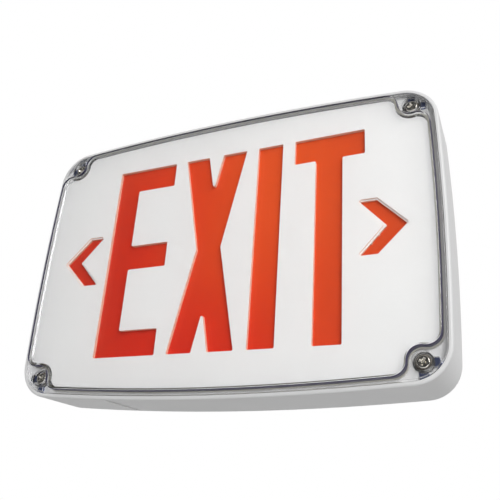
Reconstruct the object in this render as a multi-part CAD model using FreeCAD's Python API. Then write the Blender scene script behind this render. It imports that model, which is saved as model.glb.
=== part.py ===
import FreeCAD, Part
import os
from math import cos, hypot, pi, radians, sin, sqrt, tan

# Emergency exit light: a bowed clear cover over a white stencil with a red diffuser, on a moulded rear
# housing that is screwed to a wall. Millimetres, +Z up, +X right as seen from the front. The front
# faces -Y. The origin is the middle of the flat back face, which lies on the wall plane Y = 0.

# ---- driving sizes ------------------------------------------------------------------------------

# plan of the housing, seen from the front
half_width = 157.5            # middle of a short side
half_height = 107.3           # middle of a long side
bow_long = 1900.0             # radius of the two long sides
bow_short = 1700.0            # radius of the two short sides
corner_radius = 25.0          # at the rim
back_corner_radius = 22.5
draft = 1.2                   # how much each side draws in from the rim to the back
housing_depth = 49.0
back_edge_radius = 2.8
rim_edge_radius = 1.6
rim_wall = 2.6
back_wall = 3.0
seat_width = 2.5              # step that carries the light tray
inner_wall = 2.5
slot_width = 2.8              # coring slot, open to the back
slot_depth = 34.0
slot_rib = 3.0
rib_pitch = 38.0
running_gap = 0.3             # between pieces that lie side by side

# underside drain groove
groove_x = -77.0
groove_width = 6.0
groove_depth = 0.8
groove_margin = 3.5

# clear cover
flange_recess = 0.5
flange_thickness = 3.0
flange_strip = 2.55           # flange seen round the raised face
plateau_rise = 5.0
plateau_wall = 2.0
face_thickness = 4.2
plateau_edge_radius = 1.1
notch_radius = 8.4            # raised face curls round each screw
shoulder_radius = 9.3
boss_radius = 6.2
boss_rise = 0.9
flange_edge_radius = 0.8
counterbore_radius = 5.2
pad_thickness = 1.8           # plastic left under a screw head
lip_width = 1.3
pocket_margin = 1.2           # from the raised face's foot to the crescent pocket
pocket_depth = 1.0
window_gap = 0.4              # from a screw boss to its two deeper windows
window_reach = 9.4
window_width = 5.4
window_depth = 2.2
window_lean = 45.0            # each window's turn from the corner's diagonal

# cover screws
screw_side_margin = 19.4      # screw axis from the middle of the short side
screw_top_margin = 18.6       # and from the middle of the long side
screw_radius = 2.0
screw_length = 12.0
screw_head_radius = 3.9
screw_head_height = 2.3
screw_hole_gap = 0.3
washer_radius = 5.0
washer_thickness = 0.7
drive_width = 1.1
drive_length = 4.6
drive_depth = 1.3
insert_radius = 2.9
insert_length = 8.0
insert_bore_gap = 0.05

# gasket
gasket_thickness = 1.2
gasket_overhang = 0.1

# legend panel
panel_air_gap = 2.2
panel_thickness = 2.5
letter_height = 152.4
letter_width = 50.8
letter_gap = 9.3
stroke = 19.3
inner_corner_radius = 1.0
legend_shift = 6.25           # middle of the word to the right of the middle of the panel
chevron_gap = 32.7            # tip from the ends of a word in the middle of the panel
chevron_z = 0.8
chevron_half_height = 19.3
chevron_reach = 19.2
chevron_tail = 11.5
chevron_throat = 17.6
chevron_ledge = 1.2
chevron_ledge_depth = 0.9
chevron_ledge_radius = 2.0
stub_size = 1.1
pin_radius = 1.5
pin_gap = 0.2
pin_x = 100.0                 # the outer pins; the others are in the middle
pin_top_margin = 16.5
pin_drop = 1.8                # the outer pins lie lower, as the side is bowed

# diffuser and light tray
diffuser_thickness = 2.0
diffuser_inset = 1.0
tray_flange = 2.5
tray_depth = 19.6
tray_wall = 1.5
chamber_side_margin = 21.5    # chamber's walls from the middles of the housing's sides
chamber_top_margin = 26.3
chamber_radius = 20.0
tray_screw_x = 60.0
tray_screw_margin = 15.8
tray_boss_radius = 4.5
small_screw_radius = 1.5
small_head_radius = 2.9
small_head_height = 1.7
small_screw_length = 10.0
small_pilot_gap = 0.05

# LED strips
strip_width = 12.0
strip_thickness = 1.6
strip_corner_radius = 2.0
led_count = 12
led_end_margin = 6.0
led_size = 3.5
led_height = 1.2
rivet_leds = 5                # LED pitches from the middle to an outer rivet
rivet_radius = 1.2
rivet_head_radius = 2.2
rivet_head_height = 0.7

# driver board and what it carries
board_side_margin = 19.5      # board's edge from the middle of the left side
board_z = -13.0
board_width = 80.0
board_height = 70.0
board_thickness = 1.6
board_standoff = 6.0
post_radius = 3.2
post_inset = 4.5
board_screw_length = 6.0
board_head_radius = 2.6
board_head_height = 1.4
core_width = 26.0
core_height = 22.0
core_depth = 9.0
core_leg = 6.0
coil_overhang = 3.0
terminal_pitch = 5.5
terminal_ways = 3
terminal_depth = 8.0
terminal_height = 9.5
capacitor_radius = 4.0
capacitor_length = 10.0
chip_size = 7.0
chip_height = 2.4

# battery pack
cell_radius = 7.2
cell_length = 50.5
cell_count = 3
battery_side_margin = 69.5
battery_z = -14.0
cradle_wall = 1.6
cradle_height = 7.0
strap_width = 12.0
strap_thickness = 0.8
strap_foot = 9.0
strap_boss_radius = 4.0

# test button and status lamp, in the left side
button_y = -17.0
button_z = -15.0
button_radius = 5.0
button_fit = 0.05
button_stand = 1.9            # how far the button stands out of its dish
button_travel = 1.5
dish_radius = 8.5
dish_depth = 1.6
collar_radius = 6.6
collar_thickness = 1.4
stem_radius = 2.4
seal_section = 0.8
spring_radius = 3.7
spring_wire = 0.35
spring_turns = 4
spot_depth = 1.0              # flat for the collar, sunk in the inside of the wall
free_way = 9.0                # room cut for the collar and for the conduit nut
switch_size = 12.0
switch_rise = 4.5             # of the body in front of the button axis
switch_offset = 1.0           # switch body from the board's left edge
plunger_radius = 1.6
lamp_z = 8.0
lamp_radius = 2.5
lamp_stand = 1.2
lamp_collar = 3.4

# wall side
wall_screw_side_margin = 39.5
wall_screw_top_margin = 37.3
wall_screw_hole = 2.6
wire_entry_z = 34.0
wire_entry_radius = 11.1
wall_gasket_inner = 14.0
wall_gasket_outer = 18.0
wall_gasket_thickness = 1.5

# closed conduit entry, in the top
conduit_y = -22.0
conduit_radius = 10.7
conduit_gap = 0.1
plug_head_radius = 14.0
plug_head_height = 3.4
spotface_radius = 15.2
spotface_depth = 0.9
plug_slot_width = 2.4
plug_slot_depth = 1.8
ring_section = 1.3
nut_radius = 14.5
nut_height = 4.0

# ---- places worked out from the sizes -----------------------------------------------------------

rim_front = -housing_depth
flange_front = rim_front + flange_recess
flange_back = flange_front + flange_thickness
ledge = flange_back + gasket_thickness
plateau_front = flange_front - plateau_rise
plateau_inside = plateau_front + face_thickness
panel_front = plateau_inside + panel_air_gap
panel_back = panel_front + panel_thickness
diffuser_back = panel_back + diffuser_thickness
tray_seat = diffuser_back + tray_flange
tray_back = diffuser_back + tray_depth
pad_back = ledge + 1.0
washer_seat = pad_back - pad_thickness
head_seat = washer_seat - washer_thickness

flange_inset = rim_wall + running_gap
plateau_inset = flange_inset + flange_strip
hollow_inset = plateau_inset + plateau_wall
panel_inset = hollow_inset + running_gap
cavity_inset = hollow_inset + seat_width
slot_inset = cavity_inset - inner_wall - slot_width

screw_x = half_width - screw_side_margin
screw_z = half_height - screw_top_margin
legend_width = 3 * letter_width + stroke + 3 * letter_gap
chevron_x = legend_width / 2 + chevron_gap
pin_z = half_height - pin_top_margin
pin_places = [(sx * pin_x, sz * (pin_z - abs(sx) * pin_drop)) for sx in (-1, 0, 1) for sz in (-1, 1)]
chamber_half_width = half_width - chamber_side_margin
chamber_half_height = half_height - chamber_top_margin
tray_screw_z = half_height - tray_screw_margin
strip_length = 2 * (chamber_half_width - chamber_radius)
led_pitch = (strip_length - 2 * led_end_margin) / (led_count - 1)
rivet_x = rivet_leds * led_pitch
wall_screw_x = half_width - wall_screw_side_margin
wall_screw_z = half_height - wall_screw_top_margin

board_back = -back_wall - board_standoff
board_front = board_back - board_thickness
board_left = board_side_margin - half_width
board_x = board_left + board_width / 2
battery_x = half_width - battery_side_margin
corners = [(sx, sz) for sx in (-1, 1) for sz in (-1, 1)]

# ---- shapes -------------------------------------------------------------------------------------


def at(x, y, z):
    return FreeCAD.Vector(x, y, z)


def meet(a, ra, b, rb, side):
    """Where the circle about a meets the circle about b, on the left of a to b for side = 1."""
    dx, dz = b[0] - a[0], b[1] - a[1]
    apart = hypot(dx, dz)
    along = (apart ** 2 + ra ** 2 - rb ** 2) / (2 * apart)
    off = side * sqrt(ra ** 2 - along ** 2)
    return (a[0] + (along * dx - off * dz) / apart, a[1] + (along * dz + off * dx) / apart)


def on_ray(centre, through, radius):
    """The point at radius from centre, towards through."""
    dx, dz = through[0] - centre[0], through[1] - centre[1]
    scale = radius / hypot(dx, dz)
    return (centre[0] + dx * scale, centre[1] + dz * scale)


def arc(start, end, centre, radius, y):
    """The shorter arc about centre from start to end, in the plane Y = y."""
    middle = on_ray(centre, ((start[0] + end[0]) / 2, (start[1] + end[1]) / 2), radius)
    points = [at(p[0], y, p[1]) for p in (start, middle, end)]
    return Part.Arc(*points).toShape()


def four_fold(quarter, y):
    """A closed wire from the quarter's arcs, which run from the right side to the top."""
    edges = []
    for sx, sz in ((1, 1), (-1, 1), (-1, -1), (1, -1)):
        for start, end, centre, radius in quarter:
            flipped = [(sx * p[0], sz * p[1]) for p in (start, end, centre)]
            edges.append(arc(*flipped, radius, y))
    return Part.Wire(Part.__sortEdges__(edges))


def bowed(inset, corner, y):
    """The housing's plan drawn in by inset, as a wire with rounded corners."""
    short, long = bow_short - inset, bow_long - inset
    side = (half_width - bow_short, 0.0)
    top = (0.0, half_height - bow_long)
    centre = meet(top, long - corner, side, short - corner, -1)
    if centre[0] < 0:
        centre = meet(top, long - corner, side, short - corner, 1)
    low = on_ray(side, centre, short)
    high = on_ray(top, centre, long)
    quarter = [((half_width - inset, 0.0), low, side, short), (low, high, centre, corner),
               (high, (0.0, half_height - inset), top, long)]
    return four_fold(quarter, y)


def notched(inset, y):
    """The raised face's plan, curled round the cover screws, drawn in by inset from the housing's."""
    notch = notch_radius + inset - plateau_inset
    shoulder = shoulder_radius - inset + plateau_inset
    short, long = bow_short - inset, bow_long - inset
    side = (half_width - bow_short, 0.0)
    top = (0.0, half_height - bow_long)
    screw = (screw_x, screw_z)
    right = meet(side, short - shoulder, screw, notch + shoulder, -1)
    upper = meet(top, long - shoulder, screw, notch + shoulder, 1)
    points = [(half_width - inset, 0.0), on_ray(side, right, short), on_ray(screw, right, notch),
              on_ray(screw, upper, notch), on_ray(top, upper, long), (0.0, half_height - inset)]
    centres = [(side, short), (right, shoulder), (screw, notch), (upper, shoulder), (top, long)]
    quarter = [(points[i], points[i + 1], *centres[i]) for i in range(len(centres))]
    return four_fold(quarter, y)


def slab(wire, depth):
    """The wire's area made into a solid that reaches depth along +Y."""
    return Part.Face(wire).extrude(at(0, depth, 0))


def bowed_slab(inset, front, back):
    return slab(bowed(inset, corner_radius - inset, front), back - front)


def notched_slab(inset, front, back):
    return slab(notched(inset, front), back - front)


def box(x0, x1, y0, y1, z0, z1):
    return Part.makeBox(x1 - x0, y1 - y0, z1 - z0, at(x0, y0, z0))


def rod(radius, front, back, x, z):
    """A cylinder along Y."""
    return Part.makeCylinder(radius, back - front, at(x, front, z), at(0, 1, 0))


def rod_x(radius, left, right, y, z):
    """A cylinder along X."""
    return Part.makeCylinder(radius, right - left, at(left, y, z), at(1, 0, 0))


def rod_z(radius, low, high, x, y):
    """A cylinder along Z."""
    return Part.makeCylinder(radius, high - low, at(x, y, low), at(0, 0, 1))


def rounded(points, radii, front, back):
    """A prism along Y on a polygon whose corners are rounded by the radii."""
    edges = []
    count = len(points)
    ends = []
    for i in range(count):
        corner, before, after = at(points[i][0], front, points[i][1]), points[i - 1], points[(i + 1) % count]
        back_way = (at(before[0], front, before[1]) - corner).normalize()
        on_way = (at(after[0], front, after[1]) - corner).normalize()
        half = back_way.getAngle(on_way) / 2
        reach = radii[i] / tan(half)
        start, end = corner + back_way * reach, corner + on_way * reach
        if radii[i] > 0:
            inward = (back_way + on_way).normalize()
            middle = corner + inward * (radii[i] / sin(half) - radii[i])
            edges.append(Part.Arc(start, middle, end).toShape())
        ends.append((start, end))
    for i in range(count):
        edges.append(Part.makeLine(ends[i - 1][1], ends[i][0]))
    return slab(Part.Wire(Part.__sortEdges__(edges)), back - front)


def rounded_box(half_x, half_z, radius, front, back):
    points = [(-half_x, -half_z), (half_x, -half_z), (half_x, half_z), (-half_x, half_z)]
    return rounded(points, [radius] * 4, front, back)


def joined(shapes):
    whole = shapes[0]
    if len(shapes) > 1:
        whole = whole.fuse(shapes[1:])
    return whole.removeSplitter()


def side_surface(z):
    """X of the left side of the housing at height z and at the depth of the button."""
    drawn_in = draft * (1 + button_y / housing_depth)
    radius = bow_short - drawn_in
    return -(half_width - bow_short + sqrt(radius ** 2 - z ** 2))


def inner_side(z):
    """X of the cavity's left wall at height z."""
    return -(half_width - bow_short + sqrt((bow_short - cavity_inset) ** 2 - z ** 2))


# ---- housing ------------------------------------------------------------------------------------


def outer_block():
    front = bowed(0, corner_radius, rim_front)
    back = bowed(draft, back_corner_radius, 0)
    block = Part.makeLoft([front, back], True, True)
    back_edges = [e for e in block.Edges if e.BoundBox.YMin > -0.01]
    block = block.makeFillet(back_edge_radius, back_edges)
    rim_edges = [e for e in block.Edges if e.BoundBox.YMax < rim_front + 0.01]
    return block.makeFillet(rim_edge_radius, rim_edges)


def coring_slot():
    """The slot round the wall, cut from the back and crossed by ribs."""
    ring = bowed_slab(slot_inset, -slot_depth, 1).cut(bowed_slab(slot_inset + slot_width, -slot_depth, 1))
    reach = half_width
    ribs = []
    for k in range(-3, 4):
        x = k * rib_pitch
        ribs.append(box(x - slot_rib / 2, x + slot_rib / 2, -slot_depth, 1, -reach, reach))
    for k in range(-1, 2):
        z = k * rib_pitch
        ribs.append(box(-reach, reach, -slot_depth, 1, z - slot_rib / 2, z + slot_rib / 2))
    button_block = box(-reach, -reach / 2, -slot_depth, 1, button_z - dish_radius - slot_rib,
                       lamp_z + lamp_collar + slot_rib)
    conduit_block = box(-spotface_radius - slot_rib, spotface_radius + slot_rib, -slot_depth, 1,
                        0, reach)
    return ring.cut(ribs + [button_block, conduit_block])


def housing_posts():
    """Everything that stands on the inside of the back wall."""
    floor = -back_wall
    posts = [rod(tray_boss_radius, tray_seat, floor, sx * tray_screw_x, sz * tray_screw_z)
             for sx, sz in corners]
    posts += [rod(post_radius, board_back, floor, *place) for place in board_corners()]
    posts += [rod(strap_boss_radius, strap_seat(), floor, battery_x, z) for z in strap_places()]
    half = battery_half_width() + running_gap
    for side in (-1, 1):
        x = battery_x + side * (half + cradle_wall / 2)
        posts.append(box(x - cradle_wall / 2, x + cradle_wall / 2, floor - cradle_height, floor,
                         battery_z - cell_length / 2, battery_z + cell_length / 2))
    return posts


def rear_housing():
    body = outer_block()
    body = body.cut(bowed_slab(rim_wall, rim_front - 1, ledge))
    body = body.cut(notched_slab(hollow_inset, rim_front, tray_seat))
    body = body.cut(notched_slab(cavity_inset, tray_seat - 1, -back_wall))
    body = body.cut(coring_slot())
    body = body.fuse(housing_posts())
    pilot = small_screw_radius + small_pilot_gap
    cuts = [rod(insert_radius, rim_front, pad_back + insert_length, sx * screw_x, sz * screw_z)
            for sx, sz in corners]
    cuts += [rod(boss_radius + running_gap, rim_front, pad_back, sx * screw_x, sz * screw_z)
             for sx, sz in corners]
    cuts += [rod(screw_radius + screw_hole_gap, pad_back, head_seat + screw_length + 1, sx * screw_x,
                 sz * screw_z) for sx, sz in corners]
    cuts += [rod(pilot, tray_seat - 1, tray_seat + small_screw_length, sx * tray_screw_x, sz * tray_screw_z)
             for sx, sz in corners]
    cuts += [rod(pilot, board_back - 1, -back_wall / 2, *place) for place in board_corners()]
    cuts += [rod(pilot, strap_seat() - 1, -back_wall / 2, battery_x, z) for z in strap_places()]
    cuts += [rod(wall_screw_hole, -back_wall - 1, 1, sx * wall_screw_x, sz * wall_screw_z)
             for sx, sz in corners]
    cuts.append(rod(wire_entry_radius, -back_wall - 1, 1, 0, wire_entry_z))
    cuts.append(rod(wall_gasket_outer, -wall_gasket_thickness, 1, 0, wire_entry_z)
                .cut(rod(wall_gasket_inner, -wall_gasket_thickness, 1, 0, wire_entry_z)))
    cuts += [conduit_hole(), button_hole(), lamp_hole(), drain_groove()]
    return body.cut(cuts).removeSplitter()


def drain_groove():
    """The shallow groove across the underside, as deep at the rim as at the back."""
    middle = half_height - bow_long + sqrt(bow_long ** 2 - groove_x ** 2)
    fall = draft / housing_depth
    profile = []
    for y, sink in ((rim_front + groove_margin, 0), (-groove_margin, 0), (-groove_margin, 9),
                    (rim_front + groove_margin, 9)):
        drawn_in = draft + fall * y
        profile.append(at(groove_x - groove_width / 2, y, drawn_in + groove_depth - middle - sink))
    face = Part.Face(Part.makePolygon(profile + profile[:1]))
    return face.extrude(at(groove_width, 0, 0))


def cover_gasket():
    """The ring under the raised face's foot, and a pad under each window."""
    ring = notched_slab(plateau_inset - gasket_overhang, flange_back, ledge)
    return [ring.cut(notched_slab(hollow_inset, flange_back, ledge))] + corner_windows(flange_back, ledge)


# ---- cover --------------------------------------------------------------------------------------


def corner_windows(low, high):
    """Two curved windows outside each screw boss and inside the lip, from Y low to high."""
    area = bowed_slab(flange_inset + lip_width, low, high)
    windows = []
    for sx, sz in corners:
        x, z = sx * screw_x, sz * screw_z
        ring = rod(window_reach, low, high, x, z).cut(rod(boss_radius + window_gap, low, high, x, z))
        for lean in (-window_lean, window_lean):
            window = box(0, window_reach, low, high, -window_width / 2, window_width / 2)
            turn = lean + 45 if sx * sz > 0 else lean - 45
            window.rotate(at(0, 0, 0), at(0, 1, 0), -turn if sx > 0 else 180 - turn)
            window.translate(at(x, 0, z))
            windows.append(window.common(ring).common(area))
    return windows


def crescent_pockets():
    """The shallow pockets between the raised face and the lip, round the screw bosses."""
    floor = flange_front + pocket_depth
    area = bowed_slab(flange_inset + lip_width, flange_front - 1, floor)
    bosses = [rod(boss_radius + window_gap, flange_front - 1, floor, sx * screw_x, sz * screw_z)
              for sx, sz in corners]
    return area.cut([notched_slab(plateau_inset - pocket_margin, flange_front - 1, floor)] + bosses)


def clear_cover():
    flange = bowed_slab(flange_inset, flange_front, flange_back)
    rim_edges = [e for e in flange.Edges if e.BoundBox.YMax < flange_front + 0.01]
    flange = flange.makeFillet(flange_edge_radius, rim_edges)
    plateau = notched_slab(plateau_inset, plateau_front, flange_front)
    front_edges = [e for e in plateau.Edges if e.BoundBox.YMax < plateau_front + 0.01]
    plateau = plateau.makeFillet(plateau_edge_radius, front_edges)
    bosses = [rod(boss_radius, flange_front - boss_rise, pad_back, sx * screw_x, sz * screw_z)
              for sx, sz in corners]
    cover = flange.fuse([plateau] + bosses)
    cover = cover.cut(notched_slab(hollow_inset, plateau_inside, flange_back))
    cover = cover.cut([crescent_pockets()] + corner_windows(flange_front - 1, flange_front + window_depth))
    hole = screw_radius + screw_hole_gap
    cuts = [rod(counterbore_radius, plateau_front, washer_seat, sx * screw_x, sz * screw_z)
            for sx, sz in corners]
    cuts += [rod(hole, plateau_front, pad_back + 1, sx * screw_x, sz * screw_z) for sx, sz in corners]
    return cover.cut(cuts).removeSplitter()


def cover_screw(sx, sz):
    x, z = sx * screw_x, sz * screw_z
    head_front = head_seat - screw_head_height
    head = rod(screw_head_radius, head_front, head_seat, x, z)
    rim = [e for e in head.Edges if e.BoundBox.YMax < head_front + 0.01]
    head = head.makeFillet(screw_head_height / 2, rim)
    screw = head.fuse(rod(screw_radius, head_seat, head_seat + screw_length, x, z))
    for wide, high in ((drive_length, drive_width), (drive_width, drive_length)):
        screw = screw.cut(box(x - wide / 2, x + wide / 2, head_front - 1, head_front + drive_depth,
                              z - high / 2, z + high / 2))
    return screw.removeSplitter()


def screw_washer(sx, sz):
    x, z = sx * screw_x, sz * screw_z
    washer = rod(washer_radius, head_seat, washer_seat, x, z)
    return washer.cut(rod(screw_radius + screw_hole_gap, head_seat, washer_seat, x, z))


def threaded_insert(sx, sz):
    x, z = sx * screw_x, sz * screw_z
    body = rod(insert_radius, pad_back, pad_back + insert_length, x, z)
    return body.cut(rod(screw_radius + insert_bore_gap, pad_back, pad_back + insert_length, x, z))


# ---- face ---------------------------------------------------------------------------------------


def letter_e(x, front, back):
    top, arm = letter_height / 2, stroke
    right = x + letter_width
    inner = x + stroke
    points = [(x, -top), (right, -top), (right, -top + arm), (inner, -top + arm), (inner, -arm / 2),
              (right, -arm / 2), (right, arm / 2), (inner, arm / 2), (inner, top - arm), (right, top - arm),
              (right, top), (x, top)]
    return rounded(points, [inner_corner_radius] * len(points), front, back)


def letter_x(x, front, back):
    top, middle = letter_height / 2, x + letter_width / 2
    lean = (letter_width - stroke) / 2
    notch = top * (letter_width / 2 - stroke) / lean
    right = x + letter_width
    points = [(x, -top), (x + stroke, -top), (middle, -top + notch), (right - stroke, -top), (right, -top),
              (middle + stroke / 2, 0), (right, top), (right - stroke, top), (middle, top - notch),
              (x + stroke, top), (x, top), (middle - stroke / 2, 0)]
    return rounded(points, [inner_corner_radius] * len(points), front, back)


def letter_i(x, front, back):
    top = letter_height / 2
    points = [(x, -top), (x + stroke, -top), (x + stroke, top), (x, top)]
    return rounded(points, [inner_corner_radius] * 4, front, back)


def letter_t(x, front, back):
    top, right = letter_height / 2, x + letter_width
    stem = x + (letter_width - stroke) / 2
    points = [(stem, -top), (stem + stroke, -top), (stem + stroke, top - stroke), (right, top - stroke),
              (right, top), (x, top), (x, top - stroke), (stem, top - stroke)]
    return rounded(points, [inner_corner_radius] * len(points), front, back)


def legend_word(front, back):
    """EXIT, as four solids."""
    x = legend_shift - legend_width / 2
    step = letter_width + letter_gap
    return [letter_e(x, front, back), letter_x(x + step, front, back), letter_i(x + 2 * step, front, back),
            letter_t(x + 2 * step + stroke + letter_gap, front, back)]


def chevron(side, margin, radius, front, back):
    """A chevron that points to side, grown all round by margin."""
    tip, high, z = chevron_x, chevron_half_height, chevron_z
    shoulder = tip - chevron_reach
    tail = shoulder - chevron_tail
    throat = tail + chevron_throat
    grow = margin * tan(radians(22.5))
    points = [(tip + margin * sqrt(2), z), (shoulder + grow, z + high + margin),
              (tail - 2.3 * margin, z + high + margin), (throat - margin * sqrt(2), z),
              (tail - 2.3 * margin, z - high - margin), (shoulder + grow, z - high - margin)]
    points = [(side * x, z) for x, z in points]
    return rounded(points, [radius] * len(points), front, back)


def break_off_stubs(front, back):
    """What is left of two gates on the right chevron's lower inner edge."""
    shoulder = chevron_x - chevron_reach
    tail = shoulder - chevron_tail
    stubs = []
    for share in (0.42, 0.7):
        x = tail + share * chevron_throat
        z = chevron_z - chevron_half_height * (1 - share)
        stub = box(-stub_size / 2, stub_size / 2, front, back, -stub_size / 2, stub_size / 2)
        stub.rotate(at(0, 0, 0), at(0, 1, 0), -45)
        stub.translate(at(x, 0, z))
        stubs.append(stub)
    return stubs


def legend_panel():
    panel = notched_slab(panel_inset, panel_front, panel_back)
    cuts = legend_word(panel_front - 1, panel_back + 1)
    for side in (-1, 1):
        cuts.append(chevron(side, 0, 0.4, panel_front - 1, panel_back + 1))
        cuts.append(chevron(side, chevron_ledge, chevron_ledge_radius, panel_front - 1,
                            panel_front + chevron_ledge_depth))
    panel = panel.cut(cuts)
    pins = [rod(pin_radius, panel_back, tray_seat, x, z) for x, z in pin_places]
    return panel.fuse(pins + break_off_stubs(panel_front + chevron_ledge_depth, panel_back)).removeSplitter()


def red_diffuser():
    sheet = notched_slab(panel_inset + diffuser_inset, panel_back, diffuser_back)
    return sheet.cut([rod(pin_radius + pin_gap, panel_back, diffuser_back, x, z) for x, z in pin_places])


def light_tray():
    flange = notched_slab(panel_inset, diffuser_back, tray_seat)
    outside = rounded_box(chamber_half_width + tray_wall, chamber_half_height + tray_wall,
                          chamber_radius + tray_wall, diffuser_back, tray_back)
    chamber = rounded_box(chamber_half_width, chamber_half_height, chamber_radius, diffuser_back,
                          tray_back - tray_wall)
    tray = flange.fuse(outside).cut(chamber)
    cuts = [rod(pin_radius, diffuser_back, tray_seat, x, z) for x, z in pin_places]
    for sx, sz in corners:
        x, z = sx * tray_screw_x, sz * tray_screw_z
        cuts.append(rod(small_screw_radius + pin_gap, diffuser_back, tray_seat, x, z))
        cuts.append(rod(small_head_radius + pin_gap, diffuser_back, diffuser_back + small_head_height, x, z))
    for side in (-1, 1):
        cuts += [rivet_hole(x, side) for x in rivet_places()]
    return tray.cut(cuts).removeSplitter()


def tray_screw(sx, sz):
    x, z = sx * tray_screw_x, sz * tray_screw_z
    neck = diffuser_back + small_head_height
    head = rod(small_head_radius, diffuser_back, neck, x, z)
    return head.fuse(rod(small_screw_radius, neck, tray_seat + small_screw_length - 1, x, z)).removeSplitter()


# ---- LED strips ---------------------------------------------------------------------------------


def strip_middle():
    return (diffuser_back + tray_back - tray_wall) / 2


def rivet_places():
    return (-rivet_x, 0.0, rivet_x)


def rivet_hole(x, side):
    low, high = sorted((side * (chamber_half_height - strip_thickness),
                        side * (chamber_half_height + tray_wall)))
    return rod_z(rivet_radius, low, high, x, strip_middle())


def led_board(side):
    low, high = sorted((side * (chamber_half_height - strip_thickness), side * chamber_half_height))
    y = strip_middle()
    board = box(-strip_length / 2, strip_length / 2, y - strip_width / 2, y + strip_width / 2, low, high)
    edges = [e for e in board.Edges if abs(abs(e.CenterOfMass.x) - strip_length / 2) < 0.01
             and abs(e.CenterOfMass.y - y) > 1 and e.BoundBox.ZLength > 1]
    board = board.makeFillet(strip_corner_radius, edges)
    return board.cut([rivet_hole(x, side) for x in rivet_places()])


def led_row(side):
    low, high = sorted((side * (chamber_half_height - strip_thickness),
                        side * (chamber_half_height - strip_thickness - led_height)))
    y, half = strip_middle(), led_size / 2
    leds = []
    for k in range(led_count):
        x = (k - (led_count - 1) / 2) * led_pitch
        leds.append(box(x - half, x + half, y - half, y + half, low, high))
    return leds


def strip_rivets():
    rivets = []
    face = chamber_half_height - strip_thickness
    for side in (-1, 1):
        for x in rivet_places():
            low, high = sorted((side * face, side * (chamber_half_height + tray_wall)))
            body = rod_z(rivet_radius, low, high, x, strip_middle())
            low, high = sorted((side * face, side * (face - rivet_head_height)))
            head = rod_z(rivet_head_radius, low, high, x, strip_middle())
            low, high = sorted((side * (chamber_half_height + tray_wall),
                                side * (chamber_half_height + tray_wall + rivet_head_height)))
            tail = rod_z(rivet_head_radius, low, high, x, strip_middle())
            rivets.append(joined([body, head, tail]))
    return rivets


# ---- driver board -------------------------------------------------------------------------------


def board_corners():
    half_x, half_z = board_width / 2 - post_inset, board_height / 2 - post_inset
    return [(board_x + sx * half_x, board_z + sz * half_z) for sx, sz in corners]


def on_board(x0, x1, height, z0, z1):
    """A block that stands on the board, with x and z measured from its middle."""
    return box(board_x + x0, board_x + x1, board_front - height, board_front, board_z + z0, board_z + z1)


def driver_board():
    board = box(board_left, board_left + board_width, board_front, board_back, board_z - board_height / 2,
                board_z + board_height / 2)
    return board.cut([rod(small_screw_radius + pin_gap, board_front, board_back, *place)
                      for place in board_corners()])


def board_screw(x, z):
    head_front = board_front - board_head_height
    head = rod(board_head_radius, head_front, board_front, x, z)
    shank = rod(small_screw_radius, board_front, board_front + board_screw_length, x, z)
    return head.fuse(shank).removeSplitter()


def transformer_core():
    half_x, half_z = core_width / 2, core_height / 2
    core = on_board(-half_x, half_x, core_depth, -half_z, half_z)
    for side in (-1, 1):
        low, high = sorted((side * core_leg / 2, side * (half_x - core_leg / 2)))
        core = core.cut(on_board(low, high, core_depth, core_leg / 2 - half_z, half_z - core_leg / 2))
    return core


def transformer_coil():
    half_z = core_height / 2 - core_leg / 2 - running_gap
    half_x = core_width / 2 - core_leg / 2 - running_gap
    coil = on_board(-half_x, half_x, core_depth + coil_overhang / 2, -half_z, half_z)
    slack = running_gap / 2
    return coil.cut(on_board(-core_leg / 2 - slack, core_leg / 2 + slack, core_depth + slack,
                             -core_height, core_height))


def terminal_block():
    width = terminal_pitch * terminal_ways
    x0 = board_width / 2 - post_inset * 2 - width - running_gap
    z0 = board_height / 2 - terminal_depth - running_gap
    block = on_board(x0, x0 + width, terminal_height, z0, z0 + terminal_depth)
    cuts = []
    for k in range(terminal_ways):
        x = board_x + x0 + (k + 0.5) * terminal_pitch
        z = board_z + z0 + terminal_depth / 2
        half = 0.3 * terminal_pitch
        cuts.append(rod(half, board_front - terminal_height, board_front - terminal_height / 2, x, z))
        cuts.append(box(x - half, x + half, board_front - terminal_height / 2,
                        board_front - terminal_height / 5, z, z + terminal_depth))
    return block.cut(cuts)


def board_spots(shares):
    """Places on the board, given as shares of its half sizes."""
    return [(u * board_width / 2, v * board_height / 2) for u, v in shares]


def capacitors():
    spots = board_spots([(-0.55, 0.69), (-0.25, 0.69), (0.65, -0.57)])
    return [rod(capacitor_radius, board_front - capacitor_length, board_front, board_x + x, board_z + z)
            for x, z in spots]


def board_chips():
    spots = board_spots([(0.6, 0.12), (-0.55, -0.7), (0.0, -0.7), (0.1, 0.7)])
    half = chip_size / 2
    return [on_board(x - half, x + half, chip_height, z - half, z + half) for x, z in spots]


# ---- battery ------------------------------------------------------------------------------------


def battery_half_width():
    return cell_count * cell_radius


def battery_front():
    return -back_wall - 2 * cell_radius


def strap_seat():
    return -back_wall - cradle_height


def strap_places():
    reach = cell_length / 2 + strap_thickness + strap_foot / 2 + running_gap
    return (battery_z - reach, battery_z + reach)


def battery_pack():
    """Cells side by side in one shrink sleeve."""
    low = battery_z - cell_length / 2
    y = -back_wall - cell_radius
    cells = []
    for k in range(cell_count):
        x = battery_x + (k - (cell_count - 1) / 2) * 2 * cell_radius
        cells.append(rod_z(cell_radius, low, low + cell_length, x, y))
    half = battery_half_width() - cell_radius
    sleeve = box(battery_x - half, battery_x + half, y - cell_radius, y + cell_radius, low, low + cell_length)
    return joined(cells + [sleeve])


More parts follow.
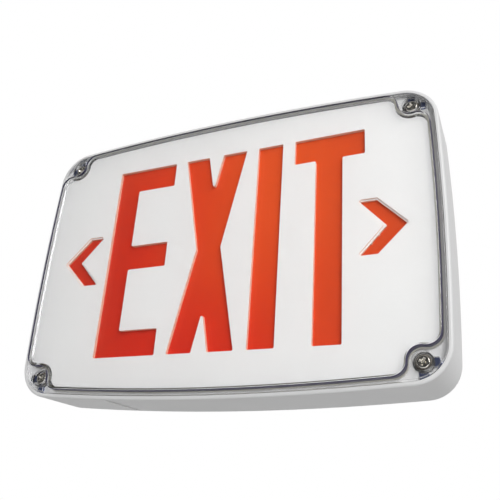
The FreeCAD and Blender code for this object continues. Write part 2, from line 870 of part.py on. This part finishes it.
def battery_strap():
    """A bent steel strip over the pack, with a foot on the boss at each end."""
    half = strap_width / 2
    reach = cell_length / 2 + running_gap
    seat, crest = strap_seat(), battery_front() - running_gap
    strip = [box(battery_x - half, battery_x + half, crest - strap_thickness, crest,
                 battery_z - reach - strap_thickness, battery_z + reach + strap_thickness)]
    for side in (-1, 1):
        z0, z1 = sorted((battery_z + side * reach, battery_z + side * (reach + strap_thickness)))
        strip.append(box(battery_x - half, battery_x + half, crest, seat, z0, z1))
        z0, z1 = sorted((battery_z + side * reach, battery_z + side * (reach + strap_thickness + strap_foot)))
        strip.append(box(battery_x - half, battery_x + half, seat - strap_thickness, seat, z0, z1))
    holes = [rod(small_screw_radius + pin_gap, seat - strap_thickness, seat, battery_x, z)
             for z in strap_places()]
    return joined(strip).cut(holes)


def strap_screw(z):
    seat = strap_seat() - strap_thickness
    head = rod(board_head_radius, seat - board_head_height, seat, battery_x, z)
    return head.fuse(rod(small_screw_radius, seat, seat + board_screw_length, battery_x, z)).removeSplitter()


# ---- test button and lamp -----------------------------------------------------------------------


def collar_seat():
    """X of the flat inside face that the button's collar rests on."""
    return inner_side(button_z - collar_radius) + running_gap


def seal_x():
    return (side_surface(button_z) + dish_depth + collar_seat()) / 2


def button_hole():
    outside = -half_width - 1
    bore = rod_x(button_radius + button_fit, outside, collar_seat() + 1, button_y, button_z)
    dish = rod_x(dish_radius, outside, side_surface(button_z) + dish_depth, button_y, button_z)
    spot = rod_x(collar_radius + running_gap, button_face(), collar_seat() + free_way, button_y, button_z)
    groove = rod_x(button_radius + 2 * seal_section + 0.02, seal_x() - seal_section, seal_x() + seal_section,
                   button_y, button_z)
    return joined([bore, dish, groove]).fuse(spot)


def button_face():
    return inner_side(button_z) - spot_depth + running_gap


def test_button():
    tip = side_surface(button_z) + dish_depth - button_stand
    face = button_face()
    body = rod_x(button_radius, tip, face, button_y, button_z)
    edges = [e for e in body.Edges if e.BoundBox.XMax < tip + 0.01]
    body = body.makeFillet(0.8, edges)
    collar = rod_x(collar_radius, face, face + collar_thickness, button_y, button_z)
    stem = rod_x(stem_radius, face, plunger_tip(), button_y, button_z)
    return joined([body, collar, stem])


def switch_left():
    return board_left + switch_offset


def plunger_tip():
    return switch_left() - button_travel - 4 * running_gap


def button_seal():
    ring = Part.makeTorus(button_radius + seal_section + button_fit, seal_section - button_fit,
                          at(seal_x(), button_y, button_z), at(1, 0, 0))
    return ring


def button_spring():
    """A coil spring on the collar, open by the button's travel at the switch end.

    Each half turn is half of a ring that leans the other way from the one before, so that they run
    smoothly into each other.
    """
    start = button_face() + collar_thickness + spring_wire
    end = switch_left() - button_travel - running_gap - spring_wire
    rise = (end - start) / (2 * spring_turns)
    halves = []
    for k in range(2 * spring_turns):
        side = 1 if k % 2 == 0 else -1
        x = start + k * rise
        section = Part.Face(Part.Wire(Part.makeCircle(
            spring_wire, at(x, button_y + side * spring_radius, button_z), at(0, 0, 1))))
        middle = at(x + rise / 2, button_y, button_z)
        halves.append(section.revolve(middle, at(-2 * side * spring_radius, -rise, 0), 180 * side))
    return halves[0].fuse(halves[1:])


def switch_plunger():
    return rod_x(plunger_radius, plunger_tip(), switch_left() + 2, button_y, button_z)


def test_switch():
    left, half = switch_left(), switch_size / 2
    body = box(left, left + switch_size, button_y - switch_rise, board_front, button_z - half, button_z + half)
    depth = 2 + button_travel + running_gap
    return body.cut(rod_x(plunger_radius + button_fit, left, left + depth, button_y, button_z))


def lamp_hole():
    return rod_x(lamp_radius + button_fit, -half_width - 1, inner_side(lamp_z) + 1, button_y, lamp_z)


def status_lamp():
    """A domed lens with a collar on the inside of the wall."""
    tip = side_surface(lamp_z) - lamp_stand
    inside = inner_side(lamp_z + lamp_collar) + running_gap
    lens = rod_x(lamp_radius, tip + lamp_radius, inside + 1, button_y, lamp_z)
    dome = Part.makeSphere(lamp_radius, at(tip + lamp_radius, button_y, lamp_z))
    collar = rod_x(lamp_collar, inside, inside + 1.2, button_y, lamp_z)
    return joined([lens, dome, collar])


# ---- wall side and conduit plug -----------------------------------------------------------------


def wall_gasket():
    ring = rod(wall_gasket_outer, -wall_gasket_thickness, 0, 0, wire_entry_z)
    return ring.cut(rod(wall_gasket_inner, -wall_gasket_thickness, 0, 0, wire_entry_z))


def conduit_floor():
    """Z of the flat that the plug's head seals on."""
    return half_height - draft - spotface_depth


def conduit_ceiling():
    """Z of the cavity's top wall at the middle."""
    return half_height - cavity_inset


def conduit_hole():
    hole = rod_z(conduit_radius, conduit_ceiling() - 1, half_height + 1, 0, conduit_y)
    return hole.fuse([rod_z(spotface_radius, conduit_floor(), half_height + 1, 0, conduit_y),
                      rod_z(nut_radius + running_gap, conduit_ceiling() - free_way,
                            conduit_ceiling() + running_gap, 0, conduit_y)])


def conduit_plug():
    floor = conduit_floor() + 2 * ring_section - ring_gland()
    head = rod_z(plug_head_radius, floor, floor + plug_head_height, 0, conduit_y)
    edges = [e for e in head.Edges if e.BoundBox.ZMin > floor + plug_head_height - 0.01]
    head = head.makeFillet(0.8, edges)
    low = conduit_ceiling() + running_gap - nut_height - 1
    body = rod_z(conduit_radius - conduit_gap, low, floor, 0, conduit_y)
    gland = Part.makeTorus(ring_radius(), ring_section, at(0, conduit_y, conduit_floor() + ring_section))
    top = floor + plug_head_height
    slot = box(-plug_head_radius, plug_head_radius, conduit_y - plug_slot_width / 2,
               conduit_y + plug_slot_width / 2, top - plug_slot_depth, top + 1)
    return joined([head, body]).cut([gland, slot]).removeSplitter()


def ring_radius():
    return conduit_radius - conduit_gap + ring_section + 0.1


def ring_gland():
    """How far the ring sits up inside the plug's head."""
    return 2 * ring_section - running_gap


def plug_ring():
    centre = at(0, conduit_y, conduit_floor() + ring_section)
    return Part.makeTorus(ring_radius(), ring_section - 0.02, centre)


def plug_nut():
    high = conduit_ceiling() + running_gap
    points = [(nut_radius * cos(k * pi / 3), nut_radius * sin(k * pi / 3) + conduit_y) for k in range(6)]
    wire = Part.makePolygon([at(x, y, high - nut_height) for x, y in points + points[:1]])
    nut = Part.Face(wire).extrude(at(0, 0, nut_height))
    return nut.cut(rod_z(conduit_radius - conduit_gap + 0.02, high - nut_height, high, 0, conduit_y))


# ---- write each piece ---------------------------------------------------------------------------

nodes = {
    "rear_housing": [rear_housing()],
    "clear_cover": [clear_cover()],
    "cover_gasket": cover_gasket(),
    "legend_panel": [legend_panel()],
    "red_diffuser": [red_diffuser()],
    "light_tray": [light_tray()],
    "led_board_top": [led_board(1)],
    "led_board_bottom": [led_board(-1)],
    "leds_top": led_row(1),
    "leds_bottom": led_row(-1),
    "strip_rivets": strip_rivets(),
    "tray_screws": [tray_screw(sx, sz) for sx, sz in corners],
    "driver_board": [driver_board()],
    "board_screws": [board_screw(x, z) for x, z in board_corners()],
    "transformer_core": [transformer_core()],
    "transformer_coil": [transformer_coil()],
    "terminal_block": [terminal_block()],
    "capacitors": capacitors(),
    "board_chips": board_chips(),
    "battery_pack": [battery_pack()],
    "battery_strap": [battery_strap()],
    "strap_screws": [strap_screw(z) for z in strap_places()],
    "cover_screws": [cover_screw(sx, sz) for sx, sz in corners],
    "screw_washers": [screw_washer(sx, sz) for sx, sz in corners],
    "threaded_inserts": [threaded_insert(sx, sz) for sx, sz in corners],
    "test_button": [test_button()],
    "button_spring": [button_spring()],
    "button_seal": [button_seal()],
    "switch_plunger": [switch_plunger()],
    "test_switch": [test_switch()],
    "status_lamp": [status_lamp()],
    "wall_gasket": [wall_gasket()],
    "conduit_plug": [conduit_plug()],
    "plug_ring": [plug_ring()],
    "plug_nut": [plug_nut()],
}

os.makedirs("parts", exist_ok=True)
for name, solids in nodes.items():
    shape = solids[0] if len(solids) == 1 else Part.makeCompound(solids)
    print(name, len(shape.Solids), round(shape.Volume, 1), shape.isValid())
    shape.exportStep("parts/" + name + ".step")
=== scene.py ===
from math import hypot, pi, radians

import bmesh
import bpy
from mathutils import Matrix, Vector

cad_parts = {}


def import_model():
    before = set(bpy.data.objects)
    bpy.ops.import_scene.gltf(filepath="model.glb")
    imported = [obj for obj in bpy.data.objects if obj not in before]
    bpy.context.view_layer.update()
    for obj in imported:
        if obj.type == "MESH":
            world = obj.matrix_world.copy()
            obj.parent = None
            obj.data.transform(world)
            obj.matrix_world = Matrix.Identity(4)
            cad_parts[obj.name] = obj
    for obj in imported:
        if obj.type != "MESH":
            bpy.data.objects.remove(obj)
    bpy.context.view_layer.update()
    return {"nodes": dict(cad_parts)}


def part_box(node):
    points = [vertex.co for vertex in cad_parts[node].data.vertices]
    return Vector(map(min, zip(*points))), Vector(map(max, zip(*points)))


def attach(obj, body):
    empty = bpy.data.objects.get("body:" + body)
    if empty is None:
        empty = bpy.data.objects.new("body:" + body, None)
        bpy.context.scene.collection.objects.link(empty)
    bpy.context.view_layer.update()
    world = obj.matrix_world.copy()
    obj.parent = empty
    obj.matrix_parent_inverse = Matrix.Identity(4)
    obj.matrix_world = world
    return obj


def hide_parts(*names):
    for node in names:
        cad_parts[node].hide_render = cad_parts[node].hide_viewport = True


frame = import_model()
nodes = frame["nodes"]

# ---- sizes of the pieces made here, in metres ---------------------------------------------------

SCREW_HEAD_RADIUS = 0.0039
SCREW_HEAD_HEIGHT = 0.0023
SCREW_SHANK_RADIUS = 0.0020
SCREW_HEAD_ROUNDING = 0.0008
RECESS_LENGTH = 0.0054
RECESS_WIDTH = 0.0013
RECESS_DEPTH = 0.0017
RECESS_TAPER = 0.42                 # the recess floor's share of its mouth
RECESS_LEAD = 0.0001                # how far the recess tool starts in front of the head
RECESS_ROUNDING = 0.0001
SHARP_ANGLE = radians(35)           # edges that turn more than this stay crisp
SCREW_TURNS = (25, -14, 38, 8)      # how far each screw happened to be driven, in degrees
PAD_REACH = 0.0085                  # from the washers' outer edges inwards, past the gasket's pads
BOSS_REACH = 0.0066                 # from a screw's axis, past the boss of the cover
WALL_SLOPE = 0.8                    # below this share towards the front, a face counts as wall
CUT_AREA = (0.140, 0.078)           # half the width and height that hold the legend's openings

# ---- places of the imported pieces, in metres -----------------------------------------------------

washer_low, washer_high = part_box("screw_washers")
washer_radius = washer_high[0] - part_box("cover_screws")[1][0] + SCREW_HEAD_RADIUS
screw_x = washer_high[0] - washer_radius
screw_z = washer_high[2] - washer_radius
rim_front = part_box("rear_housing")[0][1]


# ---- shader groups ------------------------------------------------------------------------------

def shader_group(name, inputs, outputs):
    """A new shader group; inputs are (name, kind, value) and outputs (name, kind)."""
    tree = bpy.data.node_groups.new(name, "ShaderNodeTree")
    for label, kind, value in inputs:
        socket = tree.interface.new_socket(label, in_out="INPUT", socket_type="NodeSocket" + kind)
        socket.default_value = value
    for label, kind in outputs:
        tree.interface.new_socket(label, in_out="OUTPUT", socket_type="NodeSocket" + kind)
    return tree, tree.nodes.new("NodeGroupInput").outputs, tree.nodes.new("NodeGroupOutput").inputs


def node(tree, kind, **settings):
    made = tree.nodes.new("ShaderNode" + kind)
    for key, value in settings.items():
        setattr(made, key, value)
    return made


def feed(tree, socket, value):
    """Sets a socket to a plain value or links it to another socket."""
    if isinstance(value, bpy.types.NodeSocket):
        tree.links.new(value, socket)
    else:
        socket.default_value = value


def maths(tree, operation, *values):
    made = node(tree, "Math", operation=operation)
    for socket, value in zip(made.inputs, values):
        feed(tree, socket, value)
    return made.outputs[0]


def blend(tree, factor, a, b):
    made = node(tree, "Mix", data_type="RGBA")
    for socket, value in zip((made.inputs["Factor"], made.inputs[6], made.inputs[7]), (factor, a, b)):
        feed(tree, socket, value)
    return made.outputs[2]


def noise(tree, place, scale, detail=2.0):
    made = node(tree, "TexNoise")
    for label, value in (("Vector", place), ("Scale", scale), ("Detail", detail)):
        feed(tree, made.inputs[label], value)
    return made.outputs["Fac"]


def ramp(tree, value, start, end, low=0.0, high=1.0):
    """Low below start, high above end, and smooth between."""
    made = node(tree, "MapRange", interpolation_type="SMOOTHSTEP")
    for label, setting in (("Value", value), ("From Min", start), ("From Max", end), ("To Min", low),
                           ("To Max", high)):
        feed(tree, made.inputs[label], setting)
    return made.outputs[0]


def spark_grain():
    """Moulded plastic or rubber: a fine spark texture, with slow drifts of tone and gloss."""
    tree, given, out = shader_group("spark_grain", [
        ("Light", "Color", (0.8, 0.8, 0.8, 1)), ("Dark", "Color", (0.75, 0.75, 0.75, 1)),
        ("Grain", "Float", 1500.0), ("Rough", "Float", 0.4), ("Drift", "Float", 0.08)],
        [("Color", "Color"), ("Roughness", "Float"), ("Height", "Float")])
    place = node(tree, "TexCoord").outputs["Object"]
    slow = noise(tree, place, 14.0)
    feed(tree, out["Color"], blend(tree, slow, given["Light"], given["Dark"]))
    swing = maths(tree, "MULTIPLY", maths(tree, "SUBTRACT", slow, 0.5), given["Drift"])
    feed(tree, out["Roughness"], maths(tree, "ADD", given["Rough"], swing))
    feed(tree, out["Height"], noise(tree, place, given["Grain"], 3.0))
    return tree


def working_marks():
    """Metal: fine lines left by drawing or turning, stretched along one axis."""
    tree, given, out = shader_group("working_marks", [
        ("Light", "Color", (0.7, 0.7, 0.7, 1)), ("Dark", "Color", (0.5, 0.5, 0.5, 1)),
        ("Stretch", "Vector", (1.0, 1.0, 30.0)), ("Size", "Float", 900.0), ("Rough", "Float", 0.3)],
        [("Color", "Color"), ("Roughness", "Float"), ("Height", "Float")])
    squeeze = node(tree, "VectorMath", operation="MULTIPLY")
    feed(tree, squeeze.inputs[0], node(tree, "TexCoord").outputs["Object"])
    feed(tree, squeeze.inputs[1], given["Stretch"])
    lines = noise(tree, squeeze.outputs[0], given["Size"], 4.0)
    feed(tree, out["Color"], blend(tree, lines, given["Light"], given["Dark"]))
    swing = maths(tree, "MULTIPLY", maths(tree, "SUBTRACT", lines, 0.5), 0.2)
    feed(tree, out["Roughness"], maths(tree, "ADD", given["Rough"], swing))
    feed(tree, out["Height"], lines)
    return tree


SPARK_GRAIN = spark_grain()
WORKING_MARKS = working_marks()


# ---- finishes -----------------------------------------------------------------------------------

def srgb(red, green, blue):
    """A colour given from 0 to 255 as it shows on a screen, made linear."""
    def channel(value):
        value /= 255
        return value / 12.92 if value <= 0.04045 else ((value + 0.055) / 1.055) ** 2.4
    return (channel(red), channel(green), channel(blue), 1.0)


def times(colour, share):
    return (colour[0] * share, colour[1] * share, colour[2] * share, 1.0)


def blank(name):
    material = bpy.data.materials.new(name)
    material.use_nodes = True
    return material, material.node_tree, material.node_tree.nodes["Principled BSDF"]


def relief(tree, shader, height, strength, depth):
    bump = node(tree, "Bump")
    bump.inputs["Strength"].default_value = strength
    bump.inputs["Distance"].default_value = depth
    feed(tree, bump.inputs["Height"], height)
    feed(tree, shader.inputs["Normal"], bump.outputs["Normal"])


def grained(tree, shader, colour, rough, tone=0.96, grain=1500.0, strength=0.15, drift=0.08):
    """Gives a shader the spark grain's gloss and relief, and returns the grain's colour."""
    grains = node(tree, "Group", node_tree=SPARK_GRAIN)
    for label, value in (("Light", colour), ("Dark", times(colour, tone)), ("Grain", grain), ("Rough", rough),
                         ("Drift", drift)):
        grains.inputs[label].default_value = value
    feed(tree, shader.inputs["Roughness"], grains.outputs["Roughness"])
    relief(tree, shader, grains.outputs["Height"], strength, 0.00005)
    return grains.outputs["Color"]


def moulding(name, colour, rough=0.4, **grain):
    """Moulded plastic or rubber of one colour."""
    material, tree, shader = blank(name)
    feed(tree, shader.inputs["Base Color"], grained(tree, shader, colour, rough, **grain))
    return material


def metal(name, colour, rough=0.3, tone=0.7, stretch=(1.0, 1.0, 30.0), size=900.0):
    material, tree, shader = blank(name)
    marks = node(tree, "Group", node_tree=WORKING_MARKS)
    for label, value in (("Light", colour), ("Dark", times(colour, tone)), ("Stretch", stretch),
                         ("Size", size), ("Rough", rough)):
        marks.inputs[label].default_value = value
    feed(tree, shader.inputs["Base Color"], marks.outputs["Color"])
    feed(tree, shader.inputs["Roughness"], marks.outputs["Roughness"])
    shader.inputs["Metallic"].default_value = 1.0
    relief(tree, shader, marks.outputs["Height"], 0.1, 0.00003)
    return material


def let_lamps_through(tree, shader, colour):
    """Lets the lamps light what is behind the piece, with their light tinted by the colour."""
    passing = node(tree, "BsdfTransparent")
    passing.inputs["Color"].default_value = colour
    mix = node(tree, "MixShader")
    feed(tree, mix.inputs["Fac"], node(tree, "LightPath").outputs["Is Shadow Ray"])
    feed(tree, mix.inputs[1], shader.outputs["BSDF"])
    feed(tree, mix.inputs[2], passing.outputs["BSDF"])
    feed(tree, tree.nodes["Material Output"].inputs["Surface"], mix.outputs["Shader"])


def clear_moulding(name, colour, ior, rough, strength=0.02):
    """Clear moulded plastic, which lets the lamps light what is behind it."""
    material, tree, shader = blank(name)
    feed(tree, shader.inputs["Base Color"],
         grained(tree, shader, colour, rough, tone=0.985, grain=300.0, strength=strength, drift=rough))
    shader.inputs["IOR"].default_value = ior
    shader.inputs["Transmission Weight"].default_value = 1.0
    let_lamps_through(tree, shader, times(colour, 0.97))
    return material


def wall_painted_shade():
    """Painted shade: a dark blue line round the wall of the cover's raised face, where the clear wall shows
    dark.
    """
    material, tree, shader = blank("wall_painted_shade")
    feed(tree, shader.inputs["Base Color"], grained(tree, shader, srgb(58, 55, 84), 0.4))
    let_lamps_through(tree, shader, (0.85, 0.85, 0.87, 1))
    return material


def legend_white():
    """White-faced panel whose cut edges show the tan core, with a painted glow on those edges standing in for
    light leaking through it.
    """
    material, tree, shader = blank("legend_white")
    face = grained(tree, shader, srgb(247, 247, 246), 0.35, tone=0.985, strength=0.05)
    place = node(tree, "SeparateXYZ")
    feed(tree, place.inputs[0], node(tree, "TexCoord").outputs["Object"])
    inner = [ramp(tree, maths(tree, "ABSOLUTE", place.outputs[axis]), half + 0.001, half)
             for axis, half in zip("XZ", CUT_AREA)]
    turned = node(tree, "SeparateXYZ")
    feed(tree, turned.inputs[0], node(tree, "TexCoord").outputs["Normal"])
    wall = ramp(tree, maths(tree, "ABSOLUTE", turned.outputs["Y"]), 0.7, 0.4)
    cut = maths(tree, "MULTIPLY", wall, maths(tree, "MULTIPLY", *inner))
    feed(tree, shader.inputs["Base Color"], blend(tree, cut, face, srgb(214, 180, 158)))
    # Painted glow: the cut edges emit a faint orange light, though they are no lamp.
    feed(tree, shader.inputs["Emission Color"], blend(tree, cut, (0, 0, 0, 1), (0.12, 0.045, 0.03, 1)))
    shader.inputs["Emission Strength"].default_value = 1.0
    return material


def diffuser_red():
    """Translucent red sheet with painted light and shade: warmer where more light falls towards the upper
    right, and darker towards both ends where less falls.
    """
    material, tree, shader = blank("diffuser_red")
    deep = grained(tree, shader, srgb(224, 42, 22), 0.3, tone=0.95, strength=0.05)
    place = node(tree, "TexCoord").outputs["Object"]
    where = node(tree, "SeparateXYZ")
    feed(tree, where.inputs[0], place)
    # Painted light: the orange share grows where more light falls, towards the upper right; painted shade
    # darkens both ends.
    across = maths(tree, "MULTIPLY_ADD", where.outputs["Z"], 0.9, where.outputs["X"])
    cloud = maths(tree, "MULTIPLY_ADD", noise(tree, place, 9.0, 1.0), 0.16, -0.08)
    painted_light_share = ramp(tree, maths(tree, "ADD", across, cloud), -0.13, 0.15)
    painted_shade_share = ramp(tree, maths(tree, "ABSOLUTE", where.outputs["X"]), 0.03, 0.13, 0.0, 0.5)
    lit = blend(tree, painted_light_share, deep, srgb(236, 88, 30))
    feed(tree, shader.inputs["Base Color"], blend(tree, painted_shade_share, lit, srgb(198, 58, 26)))
    return material


def circuit_board():
    """Green lacquered board with paler tracks under the lacquer."""
    material, tree, shader = blank("circuit_board")
    lacquer = grained(tree, shader, srgb(18, 92, 50), 0.25, tone=0.9, strength=0.05)
    tracks = node(tree, "TexBrick")
    turn = node(tree, "Mapping")
    turn.inputs["Rotation"].default_value = (pi / 2, 0, 0)
    feed(tree, turn.inputs["Vector"], node(tree, "TexCoord").outputs["Object"])
    for label, value in (("Vector", turn.outputs[0]), ("Scale", 90.0), ("Mortar Size", 0.035),
                         ("Color1", (0, 0, 0, 1)), ("Color2", (0, 0, 0, 1)), ("Mortar", (1, 1, 1, 1))):
        feed(tree, tracks.inputs[label], value)
    feed(tree, shader.inputs["Base Color"], blend(tree, tracks.outputs["Color"], lacquer, srgb(44, 134, 76)))
    return material


def finish_nodes(material, *names):
    for name in names:
        nodes[name].data.materials.clear()
        nodes[name].data.materials.append(material)


finish_nodes(moulding("housing_grey_white", srgb(222, 222, 222), 0.36, tone=0.97), "rear_housing",
             "conduit_plug", "plug_nut")
finish_nodes(clear_moulding("clear_polycarbonate", (0.992, 0.992, 0.993, 1), 1.58, 0.012), "clear_cover")
finish_nodes(moulding("silicone_pale", srgb(214, 212, 204), 0.5, grain=2500.0, strength=0.3), "cover_gasket")
finish_nodes(moulding("seal_rubber", srgb(38, 41, 62), 0.5, grain=2500.0, strength=0.3), "button_seal",
             "plug_ring")
finish_nodes(moulding("foam_rubber", srgb(44, 44, 46), 0.85, grain=900.0, strength=0.8), "wall_gasket")
finish_nodes(legend_white(), "legend_panel")
finish_nodes(diffuser_red(), "red_diffuser")
finish_nodes(moulding("reflector_white", srgb(242, 242, 240), 0.6), "light_tray")
finish_nodes(moulding("nylon_white", srgb(228, 227, 220), 0.4), "strip_rivets", "switch_plunger")
finish_nodes(moulding("led_board_white", srgb(226, 229, 224), 0.28, grain=500.0), "led_board_top",
             "led_board_bottom")
finish_nodes(moulding("led_phosphor", srgb(238, 218, 112), 0.3, tone=0.85), "leds_top", "leds_bottom")
finish_nodes(metal("zinc_plated_steel", (0.62, 0.61, 0.60, 1), 0.3), "tray_screws", "board_screws",
             "strap_screws", "battery_strap", "button_spring")
finish_nodes(metal("turned_brass", (0.72, 0.52, 0.22, 1), 0.28, stretch=(1.0, 30.0, 1.0)), "threaded_inserts")
finish_nodes(moulding("sealing_washer_grey", srgb(92, 87, 80), 0.45, grain=2500.0), "screw_washers")
finish_nodes(circuit_board(), "driver_board")
finish_nodes(moulding("ferrite_grey", srgb(62, 62, 66), 0.55, tone=0.85), "transformer_core")
finish_nodes(moulding("coil_tape_yellow", srgb(214, 176, 50), 0.3, tone=0.9), "transformer_coil")
finish_nodes(moulding("terminal_green", srgb(36, 122, 66), 0.4), "terminal_block")
finish_nodes(moulding("capacitor_sleeve", srgb(28, 32, 58), 0.28, tone=0.85), "capacitors")
finish_nodes(moulding("epoxy_black", srgb(28, 28, 29), 0.5, tone=0.8), "board_chips", "test_switch")
finish_nodes(moulding("cell_sleeve_blue", srgb(46, 92, 168), 0.28, tone=0.88), "battery_pack")
finish_nodes(moulding("button_red", srgb(178, 34, 26), 0.3, tone=0.92), "test_button")
finish_nodes(clear_moulding("lamp_green", srgb(90, 226, 130), 1.49, 0.1), "status_lamp")


def paint_faces(name, material, chosen):
    """Gives the faces of a node that a test picks another material."""
    mesh = nodes[name].data
    mesh.materials.append(material)
    for face in mesh.polygons:
        if chosen(face):
            face.material_index = len(mesh.materials) - 1


def window_pad(face):
    """Whether a face belongs to a gasket pad under a corner window, outside a screw."""
    return abs(face.center.x) > washer_high[0] - PAD_REACH and abs(face.center.z) > washer_high[2] - PAD_REACH


def raised_wall(face):
    """Whether a face belongs to the wall round the raised face, in front of the housing's rim."""
    from_screw = hypot(abs(face.center.x) - screw_x, abs(face.center.z) - screw_z)
    return face.center.y < rim_front and abs(face.normal.y) < WALL_SLOPE and from_screw > BOSS_REACH


# The gasket's pads under the corner windows are dark: painted shade for the gap seen through the windows.
paint_faces("cover_gasket", moulding("pad_painted_shade", srgb(96, 106, 142), 0.5, grain=2500.0, strength=0.3),
            window_pad)
# The wall round the raised face takes the painted shade of a dark line.
paint_faces("clear_cover", wall_painted_shade(), raised_wall)


# ---- modelling ----------------------------------------------------------------------------------

def deselect():
    bpy.ops.object.select_all(action="DESELECT")


def settle(made):
    """Puts the object's place, turn and scale into its mesh."""
    deselect()
    made.select_set(True)
    bpy.context.view_layer.objects.active = made
    bpy.ops.object.transform_apply(location=True, rotation=True, scale=True)
    return made


def choose(made, faces=None, edges=None):
    """Selects the faces or edges of the mesh in edit mode that a test by place or normal picks."""
    shape = bmesh.from_edit_mesh(made.data)
    bpy.ops.mesh.select_all(action="DESELECT")
    for face in shape.faces if faces else ():
        face.select_set(bool(faces(face)))
    for edge in shape.edges if edges else ():
        edge.select_set(bool(edges(edge)))
    bmesh.update_edit_mesh(made.data)


def cut_away(made, tool):
    """Takes the tool out of the piece and deletes the tool."""
    cut = made.modifiers.new("recess", "BOOLEAN")
    cut.object, cut.operation, cut.solver = tool, "DIFFERENCE", "EXACT"
    deselect()
    made.select_set(True)
    bpy.context.view_layer.objects.active = made
    bpy.ops.object.modifier_apply(modifier=cut.name)
    bpy.data.objects.remove(tool, do_unlink=True)


def recess_arm(x, y, z, turn):
    """One bar of the cross recess: a wedge that narrows to its floor."""
    mouth = 2 ** 0.5 / 2
    deselect()
    bpy.ops.mesh.primitive_cone_add(vertices=4, radius1=RECESS_TAPER * mouth, radius2=mouth, depth=1.0,
                                    location=(0, 0, 0), rotation=(0, 0, pi / 4))
    arm = settle(bpy.context.object)
    arm.scale = (RECESS_LENGTH, RECESS_WIDTH, RECESS_DEPTH)
    settle(arm)
    arm.rotation_euler = (pi / 2, 0, 0)
    settle(arm)
    arm.rotation_euler = (0, turn, 0)
    arm.location = (x, y + RECESS_DEPTH / 2 - RECESS_LEAD, z)
    return settle(arm)


def cover_screw(x, z, turn):
    """Pan-head screw with a cross recess, head towards -Y."""
    seat = washer_low[1]
    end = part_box("cover_screws")[1][1]
    front = seat - SCREW_HEAD_HEIGHT
    deselect()
    bpy.ops.mesh.primitive_cylinder_add(vertices=48, radius=SCREW_HEAD_RADIUS, depth=SCREW_HEAD_HEIGHT,
                                        location=(x, (front + seat) / 2, z), rotation=(pi / 2, 0, 0))
    screw = settle(bpy.context.object)
    bpy.ops.object.mode_set(mode="EDIT")
    choose(screw, faces=lambda face: face.normal.y > 0.9)
    bpy.ops.mesh.inset(thickness=SCREW_HEAD_RADIUS - SCREW_SHANK_RADIUS)
    bpy.ops.mesh.extrude_region_move(TRANSFORM_OT_translate={"value": (0, end - seat, 0)})
    choose(screw, edges=lambda edge: all(v.co.y < front + 1e-5 for v in edge.verts))
    bpy.ops.mesh.bevel(offset=SCREW_HEAD_ROUNDING, segments=4, profile=0.6)
    bpy.ops.object.mode_set(mode="OBJECT")
    for quarter in (0, pi / 2):
        cut_away(screw, recess_arm(x, front, z, radians(turn) + quarter))
    rounding = screw.modifiers.new("recess rounding", "BEVEL")
    rounding.width, rounding.segments = RECESS_ROUNDING, 2
    rounding.limit_method, rounding.angle_limit = "ANGLE", SHARP_ANGLE
    bpy.ops.object.modifier_apply(modifier=rounding.name)
    bpy.ops.object.shade_smooth_by_angle(angle=SHARP_ANGLE)
    return screw


def cover_screws():
    steel = metal("stainless_steel", (0.78, 0.75, 0.69, 1), 0.2, tone=0.8, stretch=(1.0, 20.0, 1.0))
    places = [(x, z) for x in (screw_x, washer_low[0] + washer_radius)
              for z in (washer_low[2] + washer_radius, screw_z)]
    for number, ((x, z), turn) in enumerate(zip(places, SCREW_TURNS), 1):
        screw = cover_screw(x, z, turn)
        screw.name = f"cover_screw_{number}"
        screw.data.materials.append(steel)
        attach(screw, "sign")
        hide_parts("cover_screws")


# ---- studio -------------------------------------------------------------------------------------

def camera():
    data = bpy.data.cameras.new("camera")
    data.lens = 46.85
    data.sensor_width = 36.0
    data.clip_start = 0.01
    made = bpy.data.objects.new("camera", data)
    made.location = (0.1998, -0.4190, -0.1874)
    made.rotation_euler = (radians(114.012), radians(-3.570), radians(23.709))
    bpy.context.scene.collection.objects.link(made)
    bpy.context.scene.camera = made


def lamp(name, place, size, power):
    """A round soft lamp that points at the middle of the sign."""
    data = bpy.data.lights.new(name, "AREA")
    data.shape = "DISK"
    data.size = size
    data.energy = power
    made = bpy.data.objects.new(name, data)
    made.location = place
    made.rotation_euler = (-Vector(place)).to_track_quat("-Z", "Y").to_euler()
    bpy.context.scene.collection.objects.link(made)


def world(front, back, mirrored, beside):
    """Even light, stronger from the front than from the wall's side. The camera sees white past the
    sign, and shiny pieces mirror a paler room beside the sign and a dark one in front of it."""
    made = bpy.data.worlds.new("studio")
    bpy.context.scene.world = made
    made.use_nodes = True
    tree = made.node_tree
    background = tree.nodes["Background"]
    background.inputs["Color"].default_value = (1, 1, 1, 1)
    direction = node(tree, "SeparateXYZ")
    feed(tree, direction.inputs[0], node(tree, "TexCoord").outputs["Generated"])
    even = ramp(tree, direction.outputs["Y"], -0.2, 0.7, front, back)
    room = ramp(tree, direction.outputs["Y"], -0.62, -0.25, mirrored, beside)
    path = node(tree, "LightPath").outputs
    shiny = maths(tree, "MAXIMUM", path["Is Glossy Ray"], path["Is Transmission Ray"])
    lit = maths(tree, "MULTIPLY_ADD", shiny, maths(tree, "SUBTRACT", room, even), even)
    strength = maths(tree, "MULTIPLY_ADD", path["Is Camera Ray"], maths(tree, "SUBTRACT", 1.0, lit), lit)
    feed(tree, background.inputs["Strength"], strength)


def floor():
    deselect()
    bpy.ops.mesh.primitive_plane_add(size=4.0, location=(0, 0, -0.5))
    made = bpy.context.object
    made.name = "floor"
    material, tree, shader = blank("floor_white")
    feed(tree, shader.inputs["Base Color"], grained(tree, shader, (0.8, 0.8, 0.8, 1), 0.6, grain=400.0))
    made.data.materials.append(material)


cover_screws()
camera()
world(0.55, 0.15, 0.05, 0.85)
floor()
lamp("key", (1.2, -1.3, 0.7), 0.9, 16.5)
lamp("fill", (0.3, -1.7, -0.7), 1.2, 9.2)

bpy.context.scene.view_settings.view_transform = "Standard"
bpy.context.view_layer.update()
